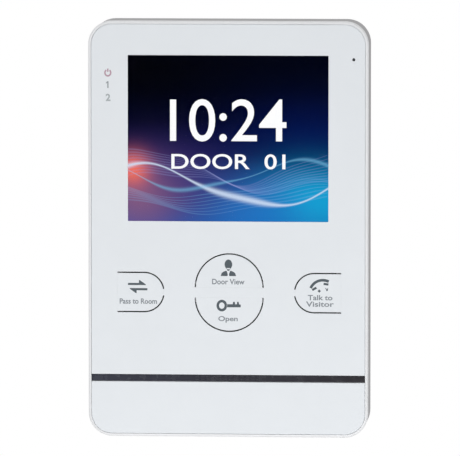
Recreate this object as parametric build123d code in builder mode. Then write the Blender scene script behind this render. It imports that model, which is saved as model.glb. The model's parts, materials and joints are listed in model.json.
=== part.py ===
"""Wall-mounted hands-free video intercom monitor, 4-inch class, modelled as an assembly.

Frame: +X to the right seen from the front, +Z up, the front looks along -Y and the wall is the plane Y = 0.
The origin is the centre of the wall bracket's screw pattern on the wall plane.
Every depth "d" below is a distance from the wall, so a point at depth d has Y = -d.
"""
import math
import os

from build123d import *

os.makedirs("parts", exist_ok=True)

# ---------------------------------------------------------------- driving dimensions (mm)
WIDTH, HEIGHT, DEPTH = 109.4, 162.7, 22.0   # housing, front view and wall to front rim
CASE_Z = -0.65                              # height of the housing's centre over the screw pattern's centre
CORNER_R = 9.2                              # housing corners in the front view
WALL = 1.8                                  # moulded wall thickness
SPLIT_D = 18.0                              # depth of the joint line between bezel and rear cover
COVER_BACK_D = 0.4                          # back edge of the rear cover, just clear of the wall

RIM = 1.1                                   # bezel rim round the front plates
PANEL_T = 1.7                               # front plate thickness
PANEL_FRONT_D = 21.85
PANEL_BACK_D = PANEL_FRONT_D - PANEL_T      # 20.15
SEAT_D = 20.0                               # bezel face that the plates are taped to
SEAT_T = 1.8
PLATE_GAP = 0.06                            # between plate and rim
PLATE_X = WIDTH / 2 - RIM - PLATE_GAP       # plate half width
PLATE_Z = HEIGHT / 2 - RIM - PLATE_GAP      # plate half height
PLATE_R = CORNER_R - RIM - PLATE_GAP

STRIP_Z0, STRIP_Z1 = -60.35, -57.65         # dark accent strip with the sound slots

WIN_W, WIN_H, WIN_Z = 78.4, 64.9, 34.95     # display window and its centre height

SLIT = 0.5                                  # width of the slits that free the keys
SEAM = 0.06                                 # moulding seam along a key's root
RING_R = 13.25                              # two half-disc keys
MON_ZC, MON_ROOT = -23.4, -23.3             # arc centre and root line of the upper half disc
UNL_ZC, UNL_ROOT = -27.25, -27.3            # and of the lower one
KEY_X = 0.45                                # the keys sit this far to the right of the middle
LOBE_R, LOBE_XC, LOBE_Z, LOBE_ROOT = 7.7, 33.25, -25.3, 43.75   # D-shaped keys at the sides
BRIDGE = 1.3                                # half height of the bridge in a lobe's slit

BOARD_D0, BOARD_D1 = 12.0, 13.6             # circuit board, back and front
SWITCH_TOP = 17.1                           # tactile switch body
PLUNGER_TOP = 18.6                          # its plunger at rest
KEY_TRAVEL = 0.3                            # plunger travel
SWITCHES = {"transfer": (-32.2, -25.3), "answer": (33.1, -25.3), "monitor": (KEY_X, -16.1), "unlock": (KEY_X, -34.5)}

WHEEL_R, WHEEL_X, WHEEL_ZS = 6.5, -48.0, {"volume": -13.9, "brightness": -27.5, "colour": -41.1}
WHEEL_D0, WHEEL_D1 = 7.2, 9.8
SCOOP_Z0, SCOOP_Z1 = -48.0, -7.0            # finger scoop in the left side

LIFT = 6.0                                  # travel that frees the unit from the bracket's hooks
HOOKS = [(-31.0, 30.0), (31.0, 30.0), (-31.0, -30.0), (31.0, -30.0)]
SCREW_X, SCREW_Z, SCREW_HOLE_R = 60.0, 83.5, 2.25

SPK_Z, SPK_R = -61.2, 16.0                  # loudspeaker axis and rim
CASE_SCREWS = [(sx * 47.8, sz * 73.5) for sx in (-1, 1) for sz in (-1, 1)]
BOARD_SCREWS = [(-48.2, 40.0), (48.2, 40.0), (-48.2, -1.5), (48.2, -1.5), (-34.0, -45.0), (34.0, -45.0)]
SPK_SCREWS = [(sx * 12.66, SPK_Z + sz * 12.66) for sx in (-1, 1) for sz in (-1, 1)]
LEDS = [(-47.0, 60.5), (-47.0, 55.8), (-47.0, 50.9)]
MIC = (49.0, 65.9)

FRONT = Plane.XZ                            # local x is X, local y is Z, normal is -Y


def depth(d):
    """The front-view sketch plane at depth d; extruding by t fills d to d + t."""
    return FRONT.offset(d)


def housing(inset=0.0):
    """The housing's front-view outline, moved inwards. Call inside a sketch."""
    with Locations((0, CASE_Z)):
        RectangleRounded(WIDTH - 2 * inset, HEIGHT - 2 * inset, CORNER_R - inset)


def save(part, name):
    part.label = name
    export_step(part, f"parts/{name}.step")


# ================================================================ wall bracket
with BuildPart() as wall_bracket:
    with BuildSketch(depth(0)):
        with Locations((0, 1)):
            RectangleRounded(72, 96, 5)
        with Locations((0, 18)):
            RectangleRounded(50, 32, 3, mode=Mode.SUBTRACT)
        with Locations((0, -22)):
            RectangleRounded(34, 20, 3, mode=Mode.SUBTRACT)
        with GridLocations(SCREW_X, SCREW_Z, 2, 2):
            Circle(SCREW_HOLE_R, mode=Mode.SUBTRACT)
        with Locations((0, 41.75), (0, -41.75)):
            SlotOverall(12, 4.4, mode=Mode.SUBTRACT)
    extrude(amount=1.5)
    # stiffening flanges along both sides
    with BuildSketch(depth(1.5)):
        with Locations((-35.4, 1), (35.4, 1)):
            Rectangle(1.2, 78)
    extrude(amount=1.2)
    # four hooks: a tab that carries the unit, and an upturned lip behind the cover's wall
    for hx, hz in HOOKS:
        with BuildSketch(depth(1.5)):
            with Locations((hx, hz - 1.0)):
                Rectangle(8.0, 2.0)
        extrude(amount=6.5)
        with BuildSketch(depth(6.5)):
            with Locations((hx, hz + 0.75)):
                Rectangle(8.0, 5.5)
        extrude(amount=1.5)
        chamfer(
            wall_bracket.edges().filter_by(Axis.X).filter_by(
                lambda e, hz=hz, hx=hx: abs(e.center().Z - (hz + 3.5)) < 0.01 and abs(e.center().X - hx) < 0.01
                and abs(e.center().Y + 8.0) < 0.01
            ),
            0.6,
        )
save(wall_bracket.part, "wall_bracket")

# ================================================================ rear cover
with BuildPart() as rear_cover:
    with BuildSketch(depth(COVER_BACK_D)):
        housing()
    extrude(amount=SPLIT_D - COVER_BACK_D)
    fillet(rear_cover.faces().sort_by(Axis.Y)[-1].edges(), 1.6)
    # inner space
    with BuildSketch(depth(COVER_BACK_D + WALL)):
        housing(WALL)
    extrude(amount=SPLIT_D, mode=Mode.SUBTRACT)
    # inner wall of the bracket recess
    with BuildSketch(depth(COVER_BACK_D + WALL - 0.6)):
        with Locations((0, -2.25)):
            RectangleRounded(83.6, 109.1, 5)
    extrude(amount=6.2 - (COVER_BACK_D + WALL - 0.6))
    with BuildSketch(depth(0)):
        with Locations((0, -2.25)):
            RectangleRounded(80.0, 105.5, 3.2)
    extrude(amount=4.4, mode=Mode.SUBTRACT)
    # wiring window over the line headers, and the four hook slots
    with BuildSketch(depth(4.0)):
        with Locations((0, 14.5)):
            RectangleRounded(54.0, 9.4, 1.5)
        for hx, hz in HOOKS:
            with Locations((hx, hz + 0.1 - 4.65)):
                Rectangle(8.8, 9.3)
    extrude(amount=3.0, mode=Mode.SUBTRACT)
    # thickened left wall with the finger scoop for the three control wheels
    with BuildSketch(depth(3.0)):
        with Locations((-WIDTH / 2 + WALL + 0.8, (SCOOP_Z0 + SCOOP_Z1) / 2)):
            Rectangle(2.0, SCOOP_Z1 - SCOOP_Z0 + 3.0)
    extrude(amount=12.0)
    with BuildSketch(Plane.YZ.offset(-WIDTH / 2 - 1)):
        with Locations((-8.5, (SCOOP_Z0 + SCOOP_Z1) / 2)):
            RectangleRounded(10.0, SCOOP_Z1 - SCOOP_Z0, 3.5)
    extrude(amount=1 + WALL, mode=Mode.SUBTRACT)
    with BuildSketch(Plane.YZ.offset(-WIDTH / 2)):
        for wz in WHEEL_ZS.values():
            with Locations((-(WHEEL_D0 + WHEEL_D1) / 2, wz)):
                Rectangle(WHEEL_D1 - WHEEL_D0 + 1.0, 12.2)
    extrude(amount=6, mode=Mode.SUBTRACT)
    # towers for the case screws, counterbored from the back
    with BuildSketch(depth(COVER_BACK_D + WALL - 0.6)):
        with Locations(*CASE_SCREWS):
            Circle(3.4)
    extrude(amount=12.0 - (COVER_BACK_D + WALL - 0.6))
    with BuildSketch(depth(0)):
        with Locations(*CASE_SCREWS):
            Circle(1.45)
    extrude(amount=12.5, mode=Mode.SUBTRACT)
    with BuildSketch(depth(0)):
        with Locations(*CASE_SCREWS):
            Circle(2.7)
    extrude(amount=8.0, mode=Mode.SUBTRACT)
    # cooling slots above the bracket recess and along the lower edge
    with BuildSketch(depth(0)):
        with Locations((0, 62.5)):
            with GridLocations(6.0, 1, 9, 1):
                SlotOverall(10.0, 1.6, rotation=90)
    extrude(amount=COVER_BACK_D + WALL + 0.5, mode=Mode.SUBTRACT)
    with BuildSketch(Plane.XY.offset(CASE_Z - HEIGHT / 2 - 1)):
        with Locations((0, -10.0)):
            with GridLocations(5.0, 1, 9, 1):
                SlotOverall(6.0, 1.4, rotation=90)
    extrude(amount=1 + WALL + 0.5, mode=Mode.SUBTRACT)
save(rear_cover.part, "rear_cover")

# ================================================================ front bezel
with BuildPart() as front_bezel:
    with BuildSketch(depth(SPLIT_D)):
        housing()
    extrude(amount=DEPTH - SPLIT_D)
    fillet(front_bezel.faces().sort_by(Axis.Y)[0].edges(), 1.0)
    # pocket that the front plates are taped into
    with BuildSketch(depth(SEAT_D)):
        housing(RIM)
    extrude(amount=DEPTH, mode=Mode.SUBTRACT)
    # hollow the back, leaving the seat
    with BuildSketch(depth(SPLIT_D)):
        housing(WALL)
    extrude(amount=SEAT_D - SEAT_T - SPLIT_D, mode=Mode.SUBTRACT)
    # tongue that locates inside the rear cover
    with BuildSketch(depth(16.2)):
        housing(WALL + 0.1)
        with Locations((0, CASE_Z)):
            RectangleRounded(WIDTH - 2 * WALL - 2.6, HEIGHT - 2 * WALL - 2.6, CORNER_R - WALL - 1.3, mode=Mode.SUBTRACT)
    extrude(amount=SEAT_D - SEAT_T - 16.2 + 0.2)
    # bosses
    with BuildSketch(depth(12.0)):
        with Locations(*CASE_SCREWS):
            Circle(3.0)
    extrude(amount=SEAT_D - SEAT_T - 12.0 + 0.2)
    with BuildSketch(depth(BOARD_D1)):
        with Locations(*BOARD_SCREWS):
            Circle(2.6)
    extrude(amount=SEAT_D - SEAT_T - BOARD_D1 + 0.2)
    with BuildSketch(depth(16.6)):
        with Locations(*SPK_SCREWS):
            Circle(1.8)
    extrude(amount=SEAT_D - SEAT_T - 16.6 + 0.2)
    # pilot holes
    with BuildSketch(depth(11.0)):
        with Locations(*CASE_SCREWS, *BOARD_SCREWS):
            Circle(1.3)
    extrude(amount=7.4, mode=Mode.SUBTRACT)
    with BuildSketch(depth(16.0)):
        with Locations(*SPK_SCREWS):
            Circle(0.95)
    extrude(amount=3.2, mode=Mode.SUBTRACT)
    # openings through the seat: display, keys, light guide, microphone and sound
    with BuildSketch(depth(SEAT_D - SEAT_T - 0.2)):
        with Locations((0, 33.5)):
            Rectangle(89.6, 77.6)
        # side keys
        for s in (-1, 1):
            with BuildLine():
                x0, xc, r = KEY_X + s * (LOBE_ROOT - 2.0), KEY_X + s * LOBE_XC, LOBE_R + 0.5
                Polyline((xc, LOBE_Z + r), (x0, LOBE_Z + r), (x0, LOBE_Z - r), (xc, LOBE_Z - r))
                ThreePointArc((xc, LOBE_Z - r), (xc - s * r, LOBE_Z), (xc, LOBE_Z + r))
            make_face()
        # half-disc keys
        for s, zc, root in ((1, MON_ZC, MON_ROOT), (-1, UNL_ZC, UNL_ROOT)):
            r, z0 = RING_R + 0.5, root + s * 2.0
            hx = math.sqrt(r * r - (z0 - zc) ** 2)
            with BuildLine():
                Line((KEY_X - hx, z0), (KEY_X + hx, z0))
                ThreePointArc((KEY_X + hx, z0), (KEY_X, zc + s * r), (KEY_X - hx, z0))
            make_face()
        with Locations(*LEDS):
            Circle(1.5)
        with Locations(MIC):
            Circle(0.7)
        with Locations((0, (STRIP_Z0 + STRIP_Z1) / 2)):
            Rectangle(30.0, 2.0)
    extrude(amount=3.0, mode=Mode.SUBTRACT)
save(front_bezel.part, "front_bezel")


def plate_outline(z0, z1):
    """The front plates' shared outline, kept between two heights. Call inside a sketch."""
    with Locations((0, CASE_Z)):
        RectangleRounded(2 * PLATE_X, 2 * PLATE_Z, PLATE_R)
    with Locations((0, (z0 + z1) / 2)):
        Rectangle(2 * PLATE_X + 1, z1 - z0, mode=Mode.INTERSECT)


# ================================================================ upper front plate
with BuildPart() as upper_front_panel:
    with BuildSketch(depth(PANEL_BACK_D)):
        plate_outline(STRIP_Z1 + 0.05, CASE_Z + PLATE_Z + 1)
    extrude(amount=PANEL_T)
    fillet(upper_front_panel.faces().sort_by(Axis.Y)[0].edges(), 0.25)
    with BuildSketch(depth(PANEL_BACK_D)):
        with Locations((0, WIN_Z)):
            RectangleRounded(WIN_W, WIN_H, 0.3)
        with Locations(MIC):
            Circle(0.6)
        # side keys: D-shaped openings, one slit wider than the keys, with a bridge across the slit at the tip
        for s in (-1, 1):
            x0, xc, r = KEY_X + s * LOBE_ROOT, KEY_X + s * LOBE_XC, LOBE_R + SLIT / 2
            with BuildLine():
                Polyline((xc, LOBE_Z + r), (x0, LOBE_Z + r), (x0, LOBE_Z - r), (xc, LOBE_Z - r))
                ThreePointArc((xc, LOBE_Z - r), (xc - s * r, LOBE_Z), (xc, LOBE_Z + r))
            make_face()
        # half-disc keys
        for s, zc, root in ((1, MON_ZC, MON_ROOT), (-1, UNL_ZC, UNL_ROOT)):
            r = RING_R + SLIT / 2
            hx = math.sqrt(r * r - (root - zc) ** 2)
            with BuildLine():
                Line((KEY_X - hx, root), (KEY_X + hx, root))
                ThreePointArc((KEY_X + hx, root), (KEY_X, zc + s * r), (KEY_X - hx, root))
            make_face()
    extrude(amount=PANEL_T, mode=Mode.SUBTRACT)
    # the bridges
    with BuildSketch(depth(PANEL_BACK_D)):
        for s in (-1, 1):
            ro, ri = LOBE_R + SLIT / 2, LOBE_R - SLIT / 2 + SEAM
            ho, hi = math.sqrt(ro * ro - BRIDGE**2), math.sqrt(ri * ri - BRIDGE**2)
            xc = KEY_X + s * LOBE_XC
            with BuildLine():
                Line((xc - s * ho, LOBE_Z + BRIDGE), (xc - s * hi, LOBE_Z + BRIDGE))
                ThreePointArc((xc - s * hi, LOBE_Z + BRIDGE), (xc - s * ri, LOBE_Z), (xc - s * hi, LOBE_Z - BRIDGE))
                Line((xc - s * hi, LOBE_Z - BRIDGE), (xc - s * ho, LOBE_Z - BRIDGE))
                ThreePointArc((xc - s * ho, LOBE_Z - BRIDGE), (xc - s * ro, LOBE_Z), (xc - s * ho, LOBE_Z + BRIDGE))
            make_face()
    extrude(amount=PANEL_T)
save(upper_front_panel.part, "upper_front_panel")

# ================================================================ lower front plate
with BuildPart() as lower_front_panel:
    with BuildSketch(depth(PANEL_BACK_D)):
        plate_outline(CASE_Z - PLATE_Z - 1, STRIP_Z0 - 0.05)
    extrude(amount=PANEL_T)
    fillet(lower_front_panel.faces().sort_by(Axis.Y)[0].edges(), 0.25)
save(lower_front_panel.part, "lower_front_panel")

# ================================================================ accent strip with sound slots
with BuildPart() as accent_strip:
    with BuildSketch(depth(SEAT_D)):
        with Locations((0, (STRIP_Z0 + STRIP_Z1) / 2)):
            Rectangle(2 * PLATE_X, STRIP_Z1 - STRIP_Z0 - 0.1)
    extrude(amount=1.55)
    fillet(accent_strip.faces().sort_by(Axis.Y)[0].edges().filter_by(Axis.X), 0.2)
    with BuildSketch(depth(SEAT_D)):
        with Locations((0, (STRIP_Z0 + STRIP_Z1) / 2)):
            with GridLocations(2.2, 1.1, 12, 2):
                SlotOverall(1.5, 0.5)
    extrude(amount=2.0, mode=Mode.SUBTRACT)
save(accent_strip.part, "accent_strip")

# ================================================================ double-sided tape under the plates
with BuildPart() as panel_adhesive:
    with BuildSketch(depth(SEAT_D)):
        with Locations((0, CASE_Z)):
            RectangleRounded(2 * PLATE_X - 1.0, 2 * PLATE_Z - 1.0, PLATE_R - 0.5)
        with Locations((0, (STRIP_Z0 + STRIP_Z1) / 2)):
            Rectangle(2 * PLATE_X + 1, STRIP_Z1 - STRIP_Z0 + 1.0, mode=Mode.SUBTRACT)
        with Locations((0, 33.5)):
            Rectangle(90.6, 78.6, mode=Mode.SUBTRACT)
        with Locations((KEY_X, LOBE_Z)):
            Rectangle(2 * LOBE_ROOT + 1, 2 * LOBE_R + 2, mode=Mode.SUBTRACT)
            Circle(RING_R + 3.2, mode=Mode.SUBTRACT)
        with Locations((LEDS[0][0], 55.7)):
            SlotOverall(14.0, 3.4, rotation=90, mode=Mode.SUBTRACT)
        with Locations(MIC):
            Circle(0.9, mode=Mode.SUBTRACT)
    extrude(amount=PANEL_BACK_D - SEAT_D)
save(panel_adhesive.part, "panel_adhesive")


# ================================================================ keys
def key_back(x, z):
    """Stiffening ring and the nub that presses the switch, on a key's back face."""
    with BuildSketch(depth(PANEL_BACK_D - 0.9)) as ring:
        with Locations((x, z)):
            Circle(4.2)
            Circle(3.4, mode=Mode.SUBTRACT)
    extrude(ring.sketch, amount=1.0)
    with BuildSketch(depth(PLUNGER_TOP + 0.1)) as nub:
        with Locations((x, z)):
            Circle(1.2)
    extrude(nub.sketch, amount=PANEL_BACK_D - PLUNGER_TOP)


def side_key(s, x, z):
    """A D-shaped pad with its root at the outer side. The back is thinned along the root, where the real moulding flexes."""
    x0, xc, r = KEY_X + s * (LOBE_ROOT - SEAM), KEY_X + s * LOBE_XC, LOBE_R - SLIT / 2
    with BuildSketch(depth(PANEL_BACK_D)) as pad:
        with BuildLine():
            Polyline((xc, LOBE_Z + r), (x0, LOBE_Z + r), (x0, LOBE_Z - r), (xc, LOBE_Z - r))
            ThreePointArc((xc, LOBE_Z - r), (xc - s * r, LOBE_Z), (xc, LOBE_Z + r))
        make_face()
    extrude(pad.sketch, amount=PANEL_T)
    with BuildSketch(depth(PANEL_BACK_D)) as thinning:
        with Locations((KEY_X + s * (LOBE_ROOT - 0.75), LOBE_Z)):
            Rectangle(1.5, 2 * r + 1)
    extrude(thinning.sketch, amount=PANEL_T - 0.6, mode=Mode.SUBTRACT)
    key_back(x, z)


def disc_key(s, zc, root, x, z):
    """A half-disc pad with its root along the diameter."""
    r, z0 = RING_R - SLIT / 2, root + s * SEAM
    hx = math.sqrt(r * r - (z0 - zc) ** 2)
    with BuildSketch(depth(PANEL_BACK_D)) as pad:
        with BuildLine():
            Line((KEY_X - hx, z0), (KEY_X + hx, z0))
            ThreePointArc((KEY_X + hx, z0), (KEY_X, zc + s * r), (KEY_X - hx, z0))
        make_face()
    extrude(pad.sketch, amount=PANEL_T)
    with BuildSketch(depth(PANEL_BACK_D)) as thinning:
        with Locations((KEY_X, root + s * 0.75)):
            Rectangle(2 * r + 1, 1.5)
    extrude(thinning.sketch, amount=PANEL_T - 0.6, mode=Mode.SUBTRACT)
    key_back(x, z)


with BuildPart() as transfer_key:
    side_key(-1, *SWITCHES["transfer"])
save(transfer_key.part, "transfer_key")

with BuildPart() as answer_key:
    side_key(1, *SWITCHES["answer"])
save(answer_key.part, "answer_key")

with BuildPart() as monitor_key:
    disc_key(1, MON_ZC, MON_ROOT, *SWITCHES["monitor"])
save(monitor_key.part, "monitor_key")

with BuildPart() as unlock_key:
    disc_key(-1, UNL_ZC, UNL_ROOT, *SWITCHES["unlock"])
save(unlock_key.part, "unlock_key")

# ================================================================ tactile switches
with BuildPart() as key_switch_bodies:
    with BuildSketch(depth(BOARD_D1)):
        with Locations(*SWITCHES.values()):
            Rectangle(6.0, 6.0)
    extrude(amount=SWITCH_TOP - BOARD_D1)
    chamfer(key_switch_bodies.edges().filter_by(Axis.Y), 0.5)
    with BuildSketch(depth(15.6)):
        with Locations(*SWITCHES.values()):
            Circle(1.76)
    extrude(amount=3, mode=Mode.SUBTRACT)
save(key_switch_bodies.part, "key_switch_bodies")

for switch_name, (sx, sz) in SWITCHES.items():
    with BuildPart() as switch_plunger:
        with BuildSketch(depth(16.0)):
            with Locations((sx, sz)):
                Circle(1.7)
        extrude(amount=PLUNGER_TOP - 16.0)
        fillet(switch_plunger.faces().sort_by(Axis.Y)[0].edges(), 0.25)
    save(switch_plunger.part, f"{switch_name}_switch_plunger")

# ================================================================ display
with BuildPart() as display_window:
    with BuildSketch(depth(PANEL_BACK_D)):
        with Locations((0, WIN_Z)):
            RectangleRounded(WIN_W - 0.1, WIN_H - 0.1, 0.3)
    extrude(amount=PANEL_T)
save(display_window.part, "display_window")

with BuildPart() as display_gasket:
    with BuildSketch(depth(19.7)):
        with Locations((0, 33.5)):
            Rectangle(88.0, 76.0)
        with Locations((0, WIN_Z)):
            Rectangle(WIN_W + 1.2, WIN_H + 1.2, mode=Mode.SUBTRACT)
    extrude(amount=PANEL_BACK_D - 19.7)
save(display_gasket.part, "display_gasket")

with BuildPart() as display_glass:
    with BuildSketch(depth(18.2)):
        with Locations((0, 33.5)):
            RectangleRounded(87.8, 75.8, 0.8)
    extrude(amount=1.5)
save(display_glass.part, "display_glass")

with BuildPart() as backlight_unit:
    with BuildSketch(depth(15.05)):
        with Locations((0, 33.5)):
            RectangleRounded(87.8, 75.8, 0.8)
    extrude(amount=3.1)
save(backlight_unit.part, "backlight_unit")

with BuildPart() as display_frame:
    with BuildSketch(depth(14.6)):
        with Locations((0, 33.5)):
            RectangleRounded(88.8, 76.8, 1.0)
    extrude(amount=4.9)
    with BuildSketch(depth(15.0)):
        with Locations((0, 33.5)):
            RectangleRounded(88.0, 76.0, 0.6)
    extrude(amount=6, mode=Mode.SUBTRACT)
    # pressed windows in the frame's back, and the slot for the ribbon
    with BuildSketch(depth(14.0)):
        with Locations((0, 33.5)):
            with GridLocations(26, 34, 3, 2):
                RectangleRounded(18, 24, 2)
    extrude(amount=2, mode=Mode.SUBTRACT)
save(display_frame.part, "display_frame")

with BuildPart() as display_ribbon:
    with BuildSketch(depth(14.3)):
        with Locations((24, -0.5)):
            Rectangle(22, 15.0)
    extrude(amount=0.2)
save(display_ribbon.part, "display_ribbon")

with BuildPart() as ribbon_connector:
    with BuildSketch(depth(BOARD_D1)):
        with Locations((24, -10.2)):
            Rectangle(26, 4.4)
    extrude(amount=1.3)
    chamfer(ribbon_connector.faces().sort_by(Axis.Y)[0].edges().filter_by(Axis.X), 0.4)
save(ribbon_connector.part, "ribbon_connector")

# ================================================================ main board
with BuildPart() as main_board:
    with BuildSketch(depth(BOARD_D0)):
        with Locations((0, 9.5)):
            RectangleRounded(101.2, 119.0, 2.0)
        with Locations((0, SPK_Z)):
            Circle(17.6, mode=Mode.SUBTRACT)
        with Locations(*BOARD_SCREWS):
            Circle(1.5, mode=Mode.SUBTRACT)
    extrude(amount=BOARD_D1 - BOARD_D0)
save(main_board.part, "main_board")

with BuildPart() as main_processor:
    with BuildSketch(depth(BOARD_D0 - 1.5)):
        with Locations((-8, -14)):
            RectangleRounded(14, 14, 0.4)
    extrude(amount=1.4)
    # leads on four sides
    with BuildSketch(depth(BOARD_D0 - 0.7)):
        with Locations((-8, -14)):
            with GridLocations(0.9, 15.8, 14, 2):
                Rectangle(0.4, 2.0)
            with GridLocations(15.8, 0.9, 2, 14):
                Rectangle(2.0, 0.4)
    extrude(amount=0.25)
    with BuildSketch(depth(BOARD_D0 - 0.5)):
        with Locations((-8, -14)):
            with GridLocations(0.9, 17.0, 14, 2):
                Rectangle(0.4, 0.9)
            with GridLocations(17.0, 0.9, 2, 14):
                Rectangle(0.9, 0.4)
    extrude(amount=0.5)
save(main_processor.part, "main_processor")

with BuildPart() as small_chips:
    with BuildSketch(depth(BOARD_D0 - 1.2)):
        with Locations((16, -16)):
            Rectangle(10, 6.0)
        with Locations((-30, 52)):
            Rectangle(6, 5.0)
        with Locations((30, -36)):
            Rectangle(5, 4.0)
        with Locations((8, 52)):
            Rectangle(9, 7.0)
    extrude(amount=1.2)
    chamfer(small_chips.faces().filter_by(Axis.Y).sort_by(Axis.Y)[-4:].edges(), 0.2)
save(small_chips.part, "small_chips")

with BuildPart() as board_capacitors:
    for cx, cz in ((-40, 8), (-40, 17), (40, 8), (40, 17), (-18, 38), (20, 38)):
        with BuildSketch(depth(BOARD_D0 - 0.6)):
            with Locations((cx, cz)):
                Rectangle(6.6, 6.6)
        extrude(amount=0.6)
        with BuildSketch(depth(BOARD_D0 - 5.0)):
            with Locations((cx, cz)):
                Circle(3.15)
        extrude(amount=4.5)
    fillet(board_capacitors.faces().filter_by(Axis.Y).sort_by(Axis.Y)[-6:].edges(), 0.4)
save(board_capacitors.part, "board_capacitors")

with BuildPart() as power_inductors:
    with BuildSketch(depth(BOARD_D0 - 3.8)):
        with Locations((-6, 40), (7, 40)):
            RectangleRounded(7.3, 7.3, 1.8)
    extrude(amount=3.8)
    with BuildSketch(depth(BOARD_D0 - 4.0)):
        with Locations((-6, 40), (7, 40)):
            Circle(2.6)
            Circle(1.9, mode=Mode.SUBTRACT)
    extrude(amount=0.8, mode=Mode.SUBTRACT)
save(power_inductors.part, "power_inductors")

HEADER_X = [-19.5, -6.5, 6.5, 19.5]
with BuildPart() as line_headers:
    with BuildSketch(depth(5.0)):
        for hx in HEADER_X:
            with Locations((hx, 14.5)):
                Rectangle(12.4, 5.8)
    extrude(amount=BOARD_D0 - 5.0)
    with BuildSketch(depth(4.9)):
        for hx in HEADER_X:
            with Locations((hx, 14.5)):
                Rectangle(10.6, 3.9)
            with Locations((hx - 3.2, 11.9), (hx + 3.2, 11.9)):
                Rectangle(1.6, 1.5)
    extrude(amount=5.7, mode=Mode.SUBTRACT)
save(line_headers.part, "line_headers")

with BuildPart() as header_pins:
    with BuildSketch(depth(6.2)):
        for hx in HEADER_X:
            with Locations((hx, 14.5)):
                with GridLocations(2.5, 1, 4, 1):
                    Rectangle(0.64, 0.64)
    extrude(amount=10.6 - 6.2)
    chamfer(header_pins.faces().sort_by(Axis.Y)[-16:].edges(), 0.15)
save(header_pins.part, "header_pins")

# ================================================================ status lights
with BuildPart() as indicator_light_guide:
    with BuildSketch(depth(14.4)):
        with Locations(*LEDS):
            Circle(1.3)
    extrude(amount=SEAT_D - 14.4)
    with BuildSketch(depth(15.2)):
        with Locations((-47.0, 55.7)):
            RectangleRounded(3.2, 14.0, 1.2)
    extrude(amount=1.2)
save(indicator_light_guide.part, "indicator_light_guide")

with BuildPart() as indicator_leds:
    with BuildSketch(depth(BOARD_D1)):
        with Locations(*LEDS):
            Rectangle(0.9, 1.7)
    extrude(amount=0.6)
save(indicator_leds.part, "indicator_leds")

# ================================================================ microphone
with BuildPart() as microphone_boot:
    with BuildSketch(depth(15.8)):
        with Locations(MIC):
            Circle(2.45)
    extrude(amount=SEAT_D - SEAT_T - 15.8)
    with BuildSketch(depth(15.0)):
        with Locations(MIC):
            Circle(1.75)
    extrude(amount=2.4, mode=Mode.SUBTRACT)
    with BuildSketch(depth(15.0)):
        with Locations(MIC):
            Circle(0.6)
    extrude(amount=4, mode=Mode.SUBTRACT)
save(microphone_boot.part, "microphone_boot")

with BuildPart() as microphone_capsule:
    with BuildSketch(depth(15.9)):
        with Locations(MIC):
            Circle(1.7)
    extrude(amount=1.5)
    with BuildSketch(depth(17.0)):
        with Locations(MIC):
            Circle(0.35)
    extrude(amount=1, mode=Mode.SUBTRACT)
save(microphone_capsule.part, "microphone_capsule")

with BuildPart() as microphone_pins:
    with BuildSketch(depth(BOARD_D1)):
        with Locations((MIC[0] - 0.8, MIC[1]), (MIC[0] + 0.8, MIC[1])):
            Circle(0.25)
    extrude(amount=15.9 - BOARD_D1)
save(microphone_pins.part, "microphone_pins")

# ================================================================ loudspeaker
SPEAKER_PLANE = Plane(origin=(0, 0, SPK_Z), x_dir=(1, 0, 0), z_dir=(0, 0, 1))  # local x radial, local y = -depth
SPEAKER_AXIS = Axis((0, 0, SPK_Z), (0, 1, 0))

with BuildPart() as speaker_basket:
    with BuildSketch(SPEAKER_PLANE):
        Polygon(
            (13.9, -17.4), (SPK_R, -17.4), (SPK_R, -16.6), (15.0, -16.6), (14.2, -15.2), (10.0, -11.4), (10.0, -10.0),
            (3.6, -10.0), (3.6, -10.8), (9.2, -10.8), (9.2, -11.9), (13.3, -15.6), (13.9, -16.6), align=None,
        )
    revolve(axis=SPEAKER_AXIS)
    # windows in the basket's cone
    with BuildSketch(depth(10.9)):
        with Locations((0, SPK_Z)):
            with PolarLocations(11.6, 6):
                Circle(1.7)
    extrude(amount=5.0, mode=Mode.SUBTRACT)
save(speaker_basket.part, "speaker_basket")

with BuildPart() as speaker_magnet:
    with BuildSketch(depth(6.6)):
        with Locations((0, SPK_Z)):
            Circle(8.6)
    extrude(amount=3.4)
    fillet(speaker_magnet.faces().sort_by(Axis.Y)[-1].edges(), 0.6)
save(speaker_magnet.part, "speaker_magnet")

with BuildPart() as speaker_cone:
    with BuildSketch(SPEAKER_PLANE):
        # surround roll, cone and dust cap as one thin section
        with BuildLine():
            Polyline((0, -14.6), (2.2, -14.3), (3.6, -13.2), (4.2, -13.0), (10.6, -16.4))
            ThreePointArc((10.6, -16.4), (12.0, -17.2), (13.4, -16.7))
            Line((13.4, -16.7), (13.4, -16.3))
            ThreePointArc((13.4, -16.3), (12.0, -16.8), (10.8, -16.05))
            Polyline((10.8, -16.05), (4.2, -12.6), (3.4, -12.8), (2.0, -13.9), (0, -14.2), (0, -14.6))
        make_face()
    revolve(axis=SPEAKER_AXIS)
save(speaker_cone.part, "speaker_cone")

with BuildPart() as voice_coil:
    with BuildSketch(depth(10.2)):
        with Locations((0, SPK_Z)):
            Circle(3.2)
            Circle(2.8, mode=Mode.SUBTRACT)
    extrude(amount=2.2)
save(voice_coil.part, "voice_coil")

with BuildPart() as speaker_gasket:
    with BuildSketch(depth(17.4)):
        with Locations((0, SPK_Z)):
            Circle(15.8)
            Circle(14.0, mode=Mode.SUBTRACT)
    extrude(amount=0.8)
save(speaker_gasket.part, "speaker_gasket")

with BuildPart() as speaker_connector:
    with BuildSketch(depth(BOARD_D0 - 3.4)):
        with Locations((24.0, -39.0)):
            Rectangle(5.2, 6.0)
    extrude(amount=3.4)
save(speaker_connector.part, "speaker_connector")

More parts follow.
